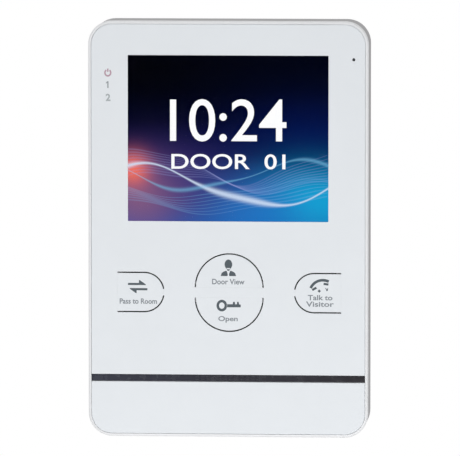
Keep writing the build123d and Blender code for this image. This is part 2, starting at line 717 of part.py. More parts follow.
LEAD_POINTS = [(10.2, -12.6, SPK_Z + 5.7), (15.2, -11.0, SPK_Z + 8.6), (20.9, -10.0, SPK_Z + 10.8), (24.0, -10.0, -46.4), (24.0, -10.0, -42.02)]


def lead_radii(points):
    """As large as each corner's two runs allow."""
    radii = []
    for a, b, c in zip(points, points[1:], points[2:]):
        u, v = Vector(*b) - Vector(*a), Vector(*c) - Vector(*b)
        radii.append(0.45 * min(u.length, v.length) / math.tan(math.radians(u.get_angle(v)) / 2))
    return radii


RADII = lead_radii(LEAD_POINTS)
print("speaker lead radii", [round(r, 1) for r in RADII])
with BuildPart() as speaker_lead:
    with BuildLine() as lead_path:
        FilletPolyline(*LEAD_POINTS, radius=RADII)
    with BuildSketch(Plane(origin=lead_path.line @ 0, z_dir=lead_path.line % 0)):
        Circle(0.6)
    sweep()
print("speaker lead volume", round(speaker_lead.part.volume, 2), "expected", round(math.pi * 0.36 * sum(e.length for e in lead_path.line.edges()), 2))
save(speaker_lead.part, "speaker_lead")

# ================================================================ side controls
with BuildPart() as control_pots:
    for wz in WHEEL_ZS.values():
        with BuildSketch(depth(10.1)):
            with Locations((-47.1, wz)):
                Rectangle(7.0, 9.0)
            with Locations((WHEEL_X, wz)):
                Circle(1.53, mode=Mode.SUBTRACT)
        extrude(amount=BOARD_D0 - 10.1)
save(control_pots.part, "control_pots")

for wheel_name, wz in WHEEL_ZS.items():
    with BuildPart() as control_wheel:
        with BuildSketch(depth(WHEEL_D0)):
            with Locations((WHEEL_X, wz)):
                Circle(WHEEL_R)
                with PolarLocations(WHEEL_R + 0.1, 30):
                    Circle(0.38, mode=Mode.SUBTRACT)
        extrude(amount=WHEEL_D1 - WHEEL_D0)
        with BuildSketch(depth(WHEEL_D0)):
            with Locations((WHEEL_X, wz)):
                Circle(4.6)
                Circle(2.2, mode=Mode.SUBTRACT)
        extrude(amount=0.7, mode=Mode.SUBTRACT)
        with BuildSketch(depth(WHEEL_D1)):
            with Locations((WHEEL_X, wz)):
                Circle(1.5)
        extrude(amount=11.4 - WHEEL_D1)
    save(control_wheel.part, f"{wheel_name}_wheel")


# ================================================================ screws
def screw_group(points, shank_d0, shank_d1, shank_r, head_h, head_r):
    """Pan-head screws driven from the back, with a cross recess."""
    with BuildSketch(depth(shank_d0)) as shank:
        with Locations(*points):
            Circle(shank_r)
    extrude(shank.sketch, amount=shank_d1 - shank_d0)
    with BuildSketch(depth(shank_d0 - head_h)) as head:
        with Locations(*points):
            Circle(head_r)
    extrude(head.sketch, amount=head_h)
    with BuildSketch(depth(shank_d0 - head_h)) as cross:
        with Locations(*points):
            Rectangle(head_r * 1.1, head_r * 0.26)
            Rectangle(head_r * 0.26, head_r * 1.1)
    extrude(cross.sketch, amount=head_h * 0.55, mode=Mode.SUBTRACT)


with BuildPart() as case_screws:
    screw_group(CASE_SCREWS, 8.0, 17.6, 1.25, 1.8, 2.4)
save(case_screws.part, "case_screws")

with BuildPart() as board_screws:
    screw_group(BOARD_SCREWS, BOARD_D0, 17.6, 1.25, 1.5, 2.4)
save(board_screws.part, "board_screws")

with BuildPart() as speaker_screws:
    screw_group(SPK_SCREWS, 16.6, 19.0, 0.9, 1.2, 2.25)
save(speaker_screws.part, "speaker_screws")
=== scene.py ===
"""Looks of the wall-mounted video intercom monitor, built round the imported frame."""

import json
import math

import bmesh
import bpy
import numpy as np
from mathutils import Matrix, Vector


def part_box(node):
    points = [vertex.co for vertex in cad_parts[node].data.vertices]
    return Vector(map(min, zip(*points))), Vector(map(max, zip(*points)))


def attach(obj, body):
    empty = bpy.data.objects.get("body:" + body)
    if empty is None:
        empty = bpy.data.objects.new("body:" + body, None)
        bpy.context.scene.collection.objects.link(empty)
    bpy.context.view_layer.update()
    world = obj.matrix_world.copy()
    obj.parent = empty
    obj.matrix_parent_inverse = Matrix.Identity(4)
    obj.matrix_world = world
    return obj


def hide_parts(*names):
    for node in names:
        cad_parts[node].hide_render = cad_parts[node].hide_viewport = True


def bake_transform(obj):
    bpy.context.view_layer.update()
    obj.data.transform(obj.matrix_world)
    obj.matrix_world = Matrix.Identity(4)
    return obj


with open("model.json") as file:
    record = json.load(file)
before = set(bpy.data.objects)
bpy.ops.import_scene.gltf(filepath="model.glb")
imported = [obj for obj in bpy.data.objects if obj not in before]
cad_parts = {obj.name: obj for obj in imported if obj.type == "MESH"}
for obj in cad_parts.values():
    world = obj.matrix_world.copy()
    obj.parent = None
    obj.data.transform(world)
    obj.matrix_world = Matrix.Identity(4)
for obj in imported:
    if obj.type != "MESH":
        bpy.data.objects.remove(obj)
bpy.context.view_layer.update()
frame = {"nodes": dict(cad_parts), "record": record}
NODES = frame["nodes"]
scene = bpy.context.scene
scene.view_settings.view_transform = "Standard"
scene.view_settings.look = "None"

MM = 0.001
PLATE_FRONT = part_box("upper_front_panel")[0].y  # y of the front plates' face
GLASS_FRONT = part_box("display_glass")[0].y
WIN_LO, WIN_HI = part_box("display_window")
WIN_C = (WIN_LO + WIN_HI) / 2


def srgb(r, g, b):
    """0-255 sRGB to a linear RGBA tuple."""
    out = []
    for v in (r, g, b):
        v /= 255
        out.append(v / 12.92 if v <= 0.04045 else ((v + 0.055) / 1.055) ** 2.4)
    return (*out, 1.0)


# ---------------------------------------------------------------- camera
AZIMUTH, ELEVATION, DISTANCE, MM_PER_PX, TARGET = 4.1, 4.9, 2600.0, 0.39, (0.77, -21.85, 0.0)
_a, _e = math.radians(AZIMUTH), math.radians(ELEVATION)
BACK = Vector((math.sin(_a) * math.cos(_e), -math.cos(_a) * math.cos(_e), math.sin(_e)))
RIGHT = Vector((math.cos(_a), math.sin(_a), 0))
UP = BACK.cross(RIGHT)
EYE = Vector(TARGET) + BACK * DISTANCE

cam_data = bpy.data.cameras.new("camera")
cam_data.sensor_width = 36
cam_data.lens = DISTANCE * 36 / (MM_PER_PX * 460)
cam_data.clip_start, cam_data.clip_end = 0.01, 50
cam = bpy.data.objects.new("camera", cam_data)
scene.collection.objects.link(cam)
cam.location = EYE * MM
cam.rotation_mode = "QUATERNION"
cam.rotation_quaternion = Matrix((RIGHT, UP, BACK)).transposed().to_quaternion()
scene.camera = cam


def px(x, y, plane=PLATE_FRONT / MM):
    """A place in the 460 x 456 front view, as (x, z) in mm on the plane at that Y."""
    ray = RIGHT * (x - 230) * MM_PER_PX - UP * (y - 228) * MM_PER_PX - BACK * DISTANCE
    hit = EYE + ray * ((plane - EYE.y) / ray.y)
    return (hit.x, hit.z)



# ---------------------------------------------------------------- material helpers
class Tree:
    """A material's node tree with short ways to write it."""

    def __init__(self, name, base=(0.8, 0.8, 0.8, 1), rough=0.4, metal=0.0, specular=0.5, **sockets):
        self.mat = bpy.data.materials.new(name)
        self.mat.use_nodes = True
        self.t = self.mat.node_tree
        self.t.nodes.clear()
        self.out = self.t.nodes.new("ShaderNodeOutputMaterial")
        self.bsdf = self.t.nodes.new("ShaderNodeBsdfPrincipled")
        self.link(self.bsdf.outputs["BSDF"], self.out.inputs["Surface"])
        s = self.bsdf.inputs
        s["Base Color"].default_value = base
        s["Roughness"].default_value = rough
        s["Metallic"].default_value = metal
        s["Specular IOR Level"].default_value = specular
        for k, v in sockets.items():
            s[k.replace("_", " ")].default_value = v
        self.coord = self.t.nodes.new("ShaderNodeTexCoord").outputs["Object"]

    def link(self, a, b):
        self.t.links.new(a, b)

    def put(self, socket, value):
        if hasattr(value, "links") or hasattr(value, "is_linked"):
            self.link(value, socket)
        else:
            socket.default_value = value

    def math(self, op, a, b=None, c=None, clamp=False):
        n = self.t.nodes.new("ShaderNodeMath")
        n.operation, n.use_clamp = op, clamp
        for i, v in enumerate((a, b, c)):
            if v is not None:
                self.put(n.inputs[i], v)
        return n.outputs[0]

    def add(self, a, b):
        return self.math("ADD", a, b)

    def sub(self, a, b):
        return self.math("SUBTRACT", a, b)

    def mul(self, a, b):
        return self.math("MULTIPLY", a, b)

    def span(self, v, lo, hi, to_lo=0.0, to_hi=1.0, kind="SMOOTHSTEP"):
        n = self.t.nodes.new("ShaderNodeMapRange")
        n.interpolation_type = kind
        n.clamp = True
        self.put(n.inputs["Value"], v)
        n.inputs["From Min"].default_value, n.inputs["From Max"].default_value = lo, hi
        n.inputs["To Min"].default_value, n.inputs["To Max"].default_value = to_lo, to_hi
        return n.outputs["Result"]

    def noise(self, scale, detail=2.0, rough=0.5, vector=None, distortion=0.0):
        n = self.t.nodes.new("ShaderNodeTexNoise")
        n.inputs["Scale"].default_value = scale
        n.inputs["Detail"].default_value = detail
        n.inputs["Roughness"].default_value = rough
        n.inputs["Distortion"].default_value = distortion
        self.link(vector or self.coord, n.inputs["Vector"])
        return n.outputs["Fac"]

    def cells(self, scale, feature="F1", vector=None, output="Distance", randomness=1.0):
        n = self.t.nodes.new("ShaderNodeTexVoronoi")
        n.feature = feature
        n.inputs["Scale"].default_value = scale
        n.inputs["Randomness"].default_value = randomness
        self.link(vector or self.coord, n.inputs["Vector"])
        return n.outputs[output]

    def scaled(self, x, y, z):
        n = self.t.nodes.new("ShaderNodeVectorMath")
        n.operation = "MULTIPLY"
        self.link(self.coord, n.inputs[0])
        n.inputs[1].default_value = (x, y, z)
        return n.outputs[0]

    def xyz(self):
        n = self.t.nodes.new("ShaderNodeSeparateXYZ")
        self.link(self.coord, n.inputs[0])
        return n.outputs

    def mix(self, fac, a, b, kind="MIX"):
        n = self.t.nodes.new("ShaderNodeMix")
        n.data_type, n.blend_type = "RGBA", kind
        self.put(n.inputs[0], fac)
        self.put(n.inputs[6], a)
        self.put(n.inputs[7], b)
        return n.outputs[2]

    def ramp(self, fac, *stops):
        n = self.t.nodes.new("ShaderNodeValToRGB")
        e = n.color_ramp.elements
        while len(e) < len(stops):
            e.new(0.5)
        for i, (p, c) in enumerate(stops):
            e[i].position, e[i].color = p, c
        self.link(fac, n.inputs[0])
        return n.outputs[0]

    def colour(self, value):
        self.put(self.bsdf.inputs["Base Color"], value)

    def rough(self, value):
        self.put(self.bsdf.inputs["Roughness"], value)

    def bump(self, height, strength=0.3, distance=0.00002, edge=None):
        n = self.t.nodes.new("ShaderNodeBump")
        n.inputs["Strength"].default_value = strength
        n.inputs["Distance"].default_value = distance
        self.link(height, n.inputs["Height"])
        if edge:
            b = self.t.nodes.new("ShaderNodeBevel")
            b.samples = 6
            b.inputs["Radius"].default_value = edge
            self.link(b.outputs["Normal"], n.inputs["Normal"])
        self.link(n.outputs["Normal"], self.bsdf.inputs["Normal"])


def tint(c, k):
    return (c[0] * k, c[1] * k, c[2] * k, 1.0)


def plastic(name, colour, rough=0.38, grain=5200, grain_depth=0.000012, edge=0.00018, specular=0.45, mottle=0.02, core=None):
    """Moulded plastic: spark-eroded grain, slow colour drift from the moulding flow, softened edges. With a core colour
    given, the cut walls round the keys are painted that dark colour as painted shade in the slits.
    """
    m = Tree(name, base=colour, rough=rough, specular=specular)
    drift = m.noise(45, 3, 0.6)
    skin = m.mix(m.span(drift, 0.3, 0.7), tint(colour, 1 - mottle), tint(colour, 1 + mottle * 0.6))
    # painted shade: side walls inside the key area take the dark colour, so the slits round the keys look deeper
    if core:
        p = m.xyz()
        normal = m.t.nodes.new("ShaderNodeSeparateXYZ")
        m.link(m.t.nodes.new("ShaderNodeNewGeometry").outputs["True Normal"], normal.inputs[0])
        wall = m.span(m.math("ABSOLUTE", normal.outputs["Y"]), 0.4, 0.6, 1.0, 0.0)
        slit_shade_area = m.mul(m.span(m.math("ABSOLUTE", p["X"]), 0.0490, 0.0495, 1.0, 0.0), m.span(m.math("ABSOLUTE", m.add(p["Z"], 0.0253)), 0.0225, 0.0230, 1.0, 0.0))
        skin = m.mix(m.mul(wall, slit_shade_area), skin, core)
    m.colour(skin)
    m.rough(m.span(m.noise(260, 3, 0.6), 0.3, 0.7, rough - 0.05, rough + 0.05))
    fine = m.noise(grain, 2, 0.55)
    pits = m.cells(grain * 0.55)
    m.bump(m.add(m.mul(fine, 0.7), m.mul(pits, 0.3)), 0.22, grain_depth, edge)
    return m.mat


def metal(name, colour, rough=0.3, along="X", edge=0.00012, depth=0.000006):
    """Rolled or turned metal: fine lines one way, faint stains."""
    m = Tree(name, base=colour, rough=rough, metal=1.0)
    k = {"X": (40, 900, 2600), "Z": (2600, 900, 40), "ALL": (1200, 1200, 1200)}[along]
    lines = m.noise(1.0, 4, 0.65, vector=m.scaled(*k))
    m.colour(m.mix(m.span(m.noise(120, 4, 0.6), 0.35, 0.7), tint(colour, 0.9), tint(colour, 1.05)))
    m.rough(m.span(lines, 0.3, 0.7, rough - 0.08, rough + 0.1))
    m.bump(lines, 0.25, depth, edge)
    return m.mat


def assign(material, *nodes):
    for n in nodes:
        o = NODES[n] if isinstance(n, str) else n
        if not o.data.materials:
            o.data.materials.append(material)
        for i in range(len(o.data.materials)):
            o.data.materials[i] = material


# ---------------------------------------------------------------- materials of the shell
PANEL_WHITE = srgb(230, 234, 238)
# dark colour painted on the cut walls of the slits round the keys: painted shade
SLIT_SHADE = srgb(32, 34, 38)
mat_panel = plastic("panel_white", PANEL_WHITE, rough=0.36, grain=5200, mottle=0.008, edge=0.00012, core=SLIT_SHADE)
mat_bezel = plastic("bezel_white", srgb(234, 235, 237), rough=0.32, grain=6000, mottle=0.008, edge=0.0002)
mat_cover = plastic("cover_grey", srgb(168, 167, 169), rough=0.5, grain=2600, grain_depth=0.00003, mottle=0.02, edge=0.00025)
assign(mat_panel, "upper_front_panel", "lower_front_panel")
assign(mat_bezel, "front_bezel")
assign(mat_cover, "rear_cover")


def strip_material():
    m = Tree("strip_dark", rough=0.24, specular=0.5)
    # painted light: the strip's colour runs lighter and bluer at the left end and darker at the right end, the fall of
    # the lamps' light across it
    x = m.span(m.xyz()["X"], -0.053, 0.053, kind="LINEAR")
    base = m.ramp(x, (0.0, srgb(56, 58, 70)), (0.5, srgb(50, 50, 58)), (1.0, srgb(45, 43, 47)))
    m.colour(m.mix(m.span(m.noise(90, 3), 0.3, 0.7, 0.0, 0.12), base, srgb(62, 62, 70)))
    m.rough(m.span(m.noise(300, 3), 0.3, 0.7, 0.2, 0.3))
    m.bump(m.noise(4200, 2), 0.15, 0.00001, 0.0001)
    return m.mat


assign(strip_material(), "accent_strip")


def window_material():
    m = Tree("window_clear", base=(0.985, 0.99, 1.0, 1), rough=0.03, specular=0.16)
    m.bsdf.inputs["Transmission Weight"].default_value = 1.0
    m.bsdf.inputs["IOR"].default_value = 1.12
    m.rough(m.span(m.noise(150, 4, 0.65), 0.35, 0.75, 0.0, 0.035))
    return m.mat


assign(window_material(), "display_window")


# ---------------------------------------------------------------- the picture on the display
def display_material():
    """A plain idle picture: navy sky, blue and cyan haze, a warm glow low on the left and soft bands of light."""
    m = Tree("display_picture", base=(0.0008, 0.0008, 0.001, 1), rough=0.25, specular=0.04)
    p = m.xyz()
    u = m.span(p["X"], WIN_LO.x, WIN_HI.x, kind="LINEAR")
    v = m.span(p["Z"], WIN_LO.z, WIN_HI.z, kind="LINEAR")
    sky = m.ramp(v, (0.0, srgb(28, 84, 168)), (0.20, srgb(26, 62, 136)), (0.40, srgb(6, 18, 76)), (0.60, srgb(1, 6, 40)), (0.8, srgb(0, 3, 24)), (1.0, srgb(0, 1, 14)))

    def glow(cu, cv, ru, rv, power=1.0):
        du = m.mul(m.sub(u, cu), 1 / ru)
        dv = m.mul(m.sub(v, cv), 1 / rv)
        r2 = m.add(m.mul(du, du), m.mul(dv, dv))
        g = m.math("POWER", 2.718, m.mul(r2, -1.0))
        return m.mul(g, power)

    col = m.mix(glow(0.90, 0.50, 0.34, 0.20, 0.6), sky, srgb(2, 22, 90))
    col = m.mix(glow(0.02, 0.92, 0.55, 0.30, 0.92), col, srgb(0, 0, 3))
    col = m.mix(glow(0.93, 0.12, 0.26, 0.19, 1.0), col, srgb(20, 168, 216))
    col = m.mix(glow(0.62, 0.04, 0.28, 0.18, 0.75), col, srgb(34, 122, 204))
    col = m.mix(glow(0.18, 0.20, 0.30, 0.22, 0.75), col, srgb(74, 56, 118))
    col = m.mix(glow(0.05, 0.14, 0.18, 0.20, 0.8), col, srgb(140, 96, 132))
    col = m.mix(glow(0.02, 0.31, 0.08, 0.095, 1.0), col, srgb(246, 116, 96))

    def band(a0, terms, width_lo, width_hi, wphase, strength, colour, onto):
        """A soft bright line along a sum of sines, whose width swells along its length."""
        line = a0
        for amp, freq, phase in terms:
            line = m.add(line, m.mul(m.math("SINE", m.add(m.mul(u, freq), phase)), amp))
        swell = m.span(m.math("SINE", m.add(m.mul(u, 9.0), wphase)), -1, 1, width_lo, width_hi)
        d = m.math("DIVIDE", m.sub(v, line), swell)
        core = m.math("POWER", 2.718, m.mul(m.mul(d, d), -1.0))
        return m.mix(m.mul(core, strength), onto, colour)

    # families of fine contour lines, then the two main bands
    for i in range(9):
        col = band(0.235 + 0.012 * i, [(0.055 + 0.006 * i, 6.2, 0.4 + 0.09 * i), (0.018, 15.0, 1.1 + 0.2 * i)],
                   0.0020, 0.0042, 0.3 * i, 0.22, srgb(150, 160, 220), col)
    for i in range(7):
        col = band(0.10 + 0.016 * i, [(0.05, 5.0, 2.6 + 0.1 * i), (0.012, 13.0, 0.4 * i)],
                   0.002, 0.004, 0.5 * i, 0.22, srgb(130, 190, 240), col)
    col = band(0.215, [(0.118, 4.9, 1.25), (0.016, 12.4, 0.3)], 0.005, 0.019, 2.9, 0.85, srgb(214, 230, 252), col)
    col = band(0.275, [(0.085, 5.6, 2.95), (0.014, 14.0, 2.0)], 0.003, 0.012, 5.0, 0.42, srgb(128, 204, 244), col)
    # picture elements, seen only from close by
    grid = m.mul(m.math("ABSOLUTE", m.math("SINE", m.mul(p["X"], math.pi / 0.00016))), m.math("ABSOLUTE", m.math("SINE", m.mul(p["Z"], math.pi / 0.00024))))
    col = m.mix(m.span(grid, 0.0, 0.9, 0.10, 0.0), col, (0, 0, 0, 1))
    m.link(col, m.bsdf.inputs["Emission Color"])
    m.bsdf.inputs["Emission Strength"].default_value = 1.0
    return m.mat


assign(display_material(), "display_glass")


# ---------------------------------------------------------------- materials of the inner pieces
def board_material():
    m = Tree("board_green", base=srgb(18, 74, 44), rough=0.34, specular=0.5)
    k = m.scaled(1, 0, 1)
    tracks = m.cells(260, feature="DISTANCE_TO_EDGE", vector=k, randomness=0.25)
    copper = m.span(tracks, 0.02, 0.05, 1.0, 0.0)
    base = m.mix(copper, srgb(16, 66, 40), srgb(28, 100, 58))
    m.colour(m.mix(m.span(m.noise(300, 3), 0.4, 0.7, 0.0, 0.2), base, srgb(12, 52, 34)))
    m.bump(copper, 0.4, 0.00003, 0.0001)
    return m.mat


assign(board_material(), "main_board")
chip = plastic("chip_black", srgb(34, 34, 36), rough=0.55, grain=7000, mottle=0.08, edge=0.0001)
assign(chip, "main_processor", "small_chips", "key_switch_bodies", "control_pots")
assign(metal("aluminium_can", srgb(205, 206, 208), rough=0.28, along="ALL"), "board_capacitors", "microphone_capsule")
assign(plastic("ferrite_grey", srgb(70, 70, 74), rough=0.6, grain=3600, mottle=0.1), "power_inductors")
nylon = plastic("nylon_cream", srgb(232, 226, 208), rough=0.42, grain=4800, mottle=0.03, edge=0.00012)
assign(nylon, "line_headers", "ribbon_connector", "speaker_connector")
assign(metal("pin_gold", srgb(214, 184, 110), rough=0.22, along="ALL"), "header_pins", "microphone_pins")
assign(plastic("ribbon_amber", srgb(176, 112, 44), rough=0.3, grain=2000, mottle=0.06), "display_ribbon")
assign(metal("pressed_steel", srgb(178, 181, 184), rough=0.34, along="X"), "display_frame", "speaker_basket")
assign(metal("magnet_steel", srgb(150, 152, 155), rough=0.3, along="ALL"), "speaker_magnet")
assign(metal("screw_steel", srgb(160, 163, 168), rough=0.26, along="ALL", edge=0.0001), "case_screws", "board_screws", "speaker_screws")
assign(metal("coil_copper", srgb(190, 112, 64), rough=0.3, along="X"), "voice_coil")
assign(plastic("foam_black", srgb(26, 26, 27), rough=0.9, grain=1800, grain_depth=0.0001, mottle=0.15), "display_gasket", "speaker_gasket")
assign(plastic("rubber_black", srgb(22, 22, 23), rough=0.7, grain=2600, mottle=0.1), "microphone_boot")
assign(plastic("tape_clear", srgb(206, 206, 196), rough=0.3, grain=1500, mottle=0.04), "panel_adhesive")
assign(plastic("light_guide", srgb(232, 234, 236), rough=0.25, grain=3000, mottle=0.02), "indicator_light_guide", "backlight_unit")
assign(plastic("lead_red", srgb(150, 28, 24), rough=0.4, grain=3000, mottle=0.06), "speaker_lead")


def cone_material():
    m = Tree("cone_paper", base=srgb(36, 36, 38), rough=0.8, specular=0.3)
    fibre = m.noise(900, 5, 0.7, distortion=1.5)
    m.colour(m.mix(fibre, srgb(24, 24, 26), srgb(58, 57, 56)))
    m.bump(fibre, 0.5, 0.00006, None)
    return m.mat


assign(cone_material(), "speaker_cone")


def led_material():
    m = Tree("led_body", base=srgb(240, 232, 190), rough=0.3)
    m.colour(m.mix(m.noise(1500, 2), srgb(240, 232, 190), srgb(250, 246, 220)))
    m.bsdf.inputs["Emission Color"].default_value = srgb(255, 170, 190)
    m.bsdf.inputs["Emission Strength"].default_value = 0.6
    return m.mat


assign(led_material(), "indicator_leds")
assign(plastic("wheel_dark", srgb(74, 75, 79), rough=0.46, grain=4200, mottle=0.05, edge=0.00012), "volume_wheel", "brightness_wheel", "colour_wheel")
assign(plastic("plunger_black", srgb(30, 30, 32), rough=0.4, grain=5000, mottle=0.05), "monitor_switch_plunger", "unlock_switch_plunger", "transfer_switch_plunger", "answer_switch_plunger")


def zinc_material():
    """Zinc-plated sheet: crystal facets in slightly different greys, rolled lines, faint white bloom."""
    m = Tree("zinc_sheet", base=srgb(176, 180, 184), rough=0.36, metal=1.0)
    facets = m.cells(300, output="Color")
    sep = m.t.nodes.new("ShaderNodeSeparateColor")
    m.link(facets, sep.inputs[0])
    tone = sep.outputs[0]
    base = m.mix(tone, srgb(168, 172, 176), srgb(190, 194, 198))
    m.colour(m.mix(m.span(m.noise(60, 5, 0.7), 0.5, 0.75, 0.0, 0.35), base, srgb(208, 210, 212)))
    m.rough(m.span(tone, 0, 1, 0.32, 0.44, kind="LINEAR"))
    lines = m.noise(1.0, 3, 0.6, vector=m.scaled(2400, 600, 40))
    m.bump(m.add(m.mul(lines, 0.5), m.mul(tone, 0.4)), 0.2, 0.00001, 0.00015)
    return m.mat


assign(zinc_material(), "wall_bracket")


# ---------------------------------------------------------------- mesh helpers
def link(name, mesh, material):
    o = bpy.data.objects.new(name, mesh)
    scene.collection.objects.link(o)
    mesh.materials.clear()
    mesh.materials.append(material)
    return o


def set_smooth(mesh, degrees=35):
    """Smooth the rounded faces only. Faces square to an axis stay flat."""
    if "custom_normal" in mesh.attributes:
        mesh.attributes.remove(mesh.attributes["custom_normal"])
    mesh.set_sharp_from_angle(angle=math.radians(degrees))
    for f in mesh.polygons:
        f.use_smooth = max(abs(c) for c in f.normal) < 0.99995


# ---------------------------------------------------------------- keys: one skin each, closed up and finely cut along the web at its root
def key_skin(node, material, root, inward, tip=None):
    """The key's own shape, closed up to its root line and cut across finely there, along the web."""
    src = NODES[node]
    bm = bmesh.new()
    bm.from_mesh(src.data)
    bmesh.ops.remove_doubles(bm, verts=bm.verts, dist=1e-7)
    root_v, inward = Vector(root), Vector(inward)
    for vert in bm.verts:
        t = (vert.co - root_v).dot(inward)
        if t < 0.00012:
            vert.co -= inward * t
    if tip:
        (tx, tz), radius, half = tip
        for dz in (half, -half):
            geom = bm.verts[:] + bm.edges[:] + bm.faces[:]
            bmesh.ops.bisect_plane(bm, geom=geom, plane_co=(tx, 0, tz + dz), plane_no=(0, 0, 1), dist=1e-8)
        for vert in bm.verts:
            arm = Vector((vert.co.x - tx, 0, vert.co.z - tz))
            if abs(arm.z) <= half + 1e-7 and arm.dot(inward) > 0 and abs(arm.length - radius) < 0.00004:
                vert.co += arm.normalized() * 0.000056
    for t in (0.00012, 0.00025, 0.0004, 0.00055, 0.0007):
        geom = bm.verts[:] + bm.edges[:] + bm.faces[:]
        bmesh.ops.bisect_plane(bm, geom=geom, plane_co=root_v + inward * t, plane_no=inward, dist=1e-8)
    bmesh.ops.recalc_face_normals(bm, faces=bm.faces[:])
    mesh = bpy.data.meshes.new(node + "_skin")
    bm.to_mesh(mesh)
    bm.free()
    set_smooth(mesh, 30)
    o = link(node + "_skin", mesh, material)
    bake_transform(o)
    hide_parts(node)
    return o


mat_key = plastic("key_white", PANEL_WHITE, rough=0.36, grain=5200, mottle=0.008, edge=0.00012, core=SLIT_SHADE)
INWARD = {"monitor_key": (0, 0, 1), "unlock_key": (0, 0, -1), "transfer_key": (1, 0, 0), "answer_key": (-1, 0, 0)}
JOINTS = {joint["name"]: joint for joint in frame["record"]["behaviour"]["joints"]}

for key, inward in INWARD.items():
    tip = None
    if key in ("transfer_key", "answer_key"):  # round end: its centre, its radius and half the height of the bridge beside it
        lo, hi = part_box(key)
        radius = (hi.z - lo.z) / 2
        tip = ((hi.x - radius if inward[0] > 0 else lo.x + radius, (lo.z + hi.z) / 2), radius, 0.0013)
    key_skin(key, mat_key, JOINTS[key + "_press"]["pos_m"], inward, tip)


# ---------------------------------------------------------------- printed marks
def ink(name, colour, rough=0.45):
    m = Tree(name, base=colour, rough=rough, specular=0.3)
    m.colour(m.mix(m.noise(2600, 2), tint(colour, 0.94), tint(colour, 1.08)))
    m.bump(m.noise(6000, 2), 0.15, 0.000006)
    return m.mat


INK_T = 0.00002  # ink stands this proud
mat_ink = ink("ink_slate", srgb(84, 93, 99))
mat_label = ink("ink_grey", srgb(132, 138, 144))


def print_object(name, polygons, material, body, y=PLATE_FRONT, texts=(), text_material=None):
    """Flat printed shapes. Each polygon is a list of loops in mm as (x, z): the outline, then its holes. Texts are (string, centre x, centre z, height, width or None, bold)."""
    curve = bpy.data.curves.new(name, "CURVE")
    curve.dimensions = "2D"
    curve.fill_mode = "BOTH"
    curve.extrude = INK_T / 2
    curve.resolution_u = 1
    for loops in polygons:
        for loop in loops:
            s = curve.splines.new("POLY")
            s.points.add(len(loop) - 1)
            s.use_cyclic_u = True
            for pt, (px, pz) in zip(s.points, loop):
                pt.co = (px * MM, pz * MM, 0, 1)
    made = []
    if polygons:
        made.append((curve, name, material))
    for i, (string, cx, cz, height, width, weight) in enumerate(texts):
        t = bpy.data.curves.new(f"{name}_label{i}", "FONT")
        t.body = string
        t.align_x, t.align_y = "CENTER", "CENTER"
        t.size = 0.001
        t.extrude = INK_T / 2
        t.offset = weight
        t.resolution_u = 6
        made.append((t, f"{name}_label{i}" if polygons or i else name, text_material or material, (cx, cz, height, width)))
    out = []
    for item in made:
        data, oname, mat_ = item[:3]
        tmp = bpy.data.objects.new(oname + "_tmp", data)
        scene.collection.objects.link(tmp)
        bpy.context.view_layer.update()
        mesh = bpy.data.meshes.new_from_object(tmp.evaluated_get(bpy.context.evaluated_depsgraph_get()))
        bpy.data.objects.remove(tmp)
        co = np.empty(len(mesh.vertices) * 3)
        mesh.vertices.foreach_get("co", co)
        co = co.reshape(-1, 3)
        if len(item) == 4:
            cx, cz, height, width = item[3]
            lo, hi = co.min(0), co.max(0)
            k = height * MM / (hi[1] - lo[1])
            kx = width * MM / (hi[0] - lo[0]) if width else k
            co[:, 0] = (co[:, 0] - (lo[0] + hi[0]) / 2) * kx + cx * MM
            co[:, 1] = (co[:, 1] - (lo[1] + hi[1]) / 2) * k + cz * MM
        new = np.stack([co[:, 0], np.where(co[:, 2] > 0, y - INK_T, y + 0.000001), co[:, 1]], 1)
        mesh.vertices.foreach_set("co", new.ravel())
        mesh.update()
        bm = bmesh.new()
        bm.from_mesh(mesh)
        bmesh.ops.remove_doubles(bm, verts=bm.verts, dist=1e-8)
        bmesh.ops.recalc_face_normals(bm, faces=bm.faces[:])
        # turn round each separate shape whose printed face looks into the plate
        left = set(bm.faces)
        while left:
            stack, shape = [left.pop()], []
            while stack:
                f = stack.pop()
                shape.append(f)
                for e in f.edges:
                    for g in e.link_faces:
                        if g in left:
                            left.discard(g)
                            stack.append(g)
            front = sum(f.normal.y * f.calc_area() for f in shape if all(v.co.y < y - INK_T / 2 for v in f.verts))
            if front > 0:
                bmesh.ops.reverse_faces(bm, faces=shape)
        bm.to_mesh(mesh)
        bm.free()
        mesh.name = oname
        o = link(oname, mesh, mat_)
        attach(o, body)
        out.append(o)
    return out


def ellipse(cx, cz, rx, rz, n=48, start=0.0, end=360.0):
    out = []
    for i in range(n if end - start >= 360 else n + 1):
        a = math.radians(start + (end - start) * i / n)
        out.append((cx + rx * math.cos(a), cz + rz * math.sin(a)))
    return out


def person_polygons(cx, cz):
    """A plain bust sign: round head, short neck, two sloping shoulders parted by a collar notch."""
    head = ellipse(cx, cz + 1.62, 1.48, 1.92, 40)
    neck = [(cx - 0.70, cz + 0.20), (cx - 0.34, cz - 0.86), (cx + 0.34, cz - 0.86), (cx + 0.70, cz + 0.20)]
    out = [[head], [neck]]
    for s in (-1, 1):
        out.append([[(cx + s * 0.62, cz - 1.02), (cx + s * 0.98, cz - 0.86), (cx + s * 1.90, cz - 1.22), (cx + s * 2.62, cz - 1.72), (cx + s * 3.02, cz - 2.92), (cx + s * 0.40, cz - 2.92), (cx + s * 0.22, cz - 2.30)]])
    return out


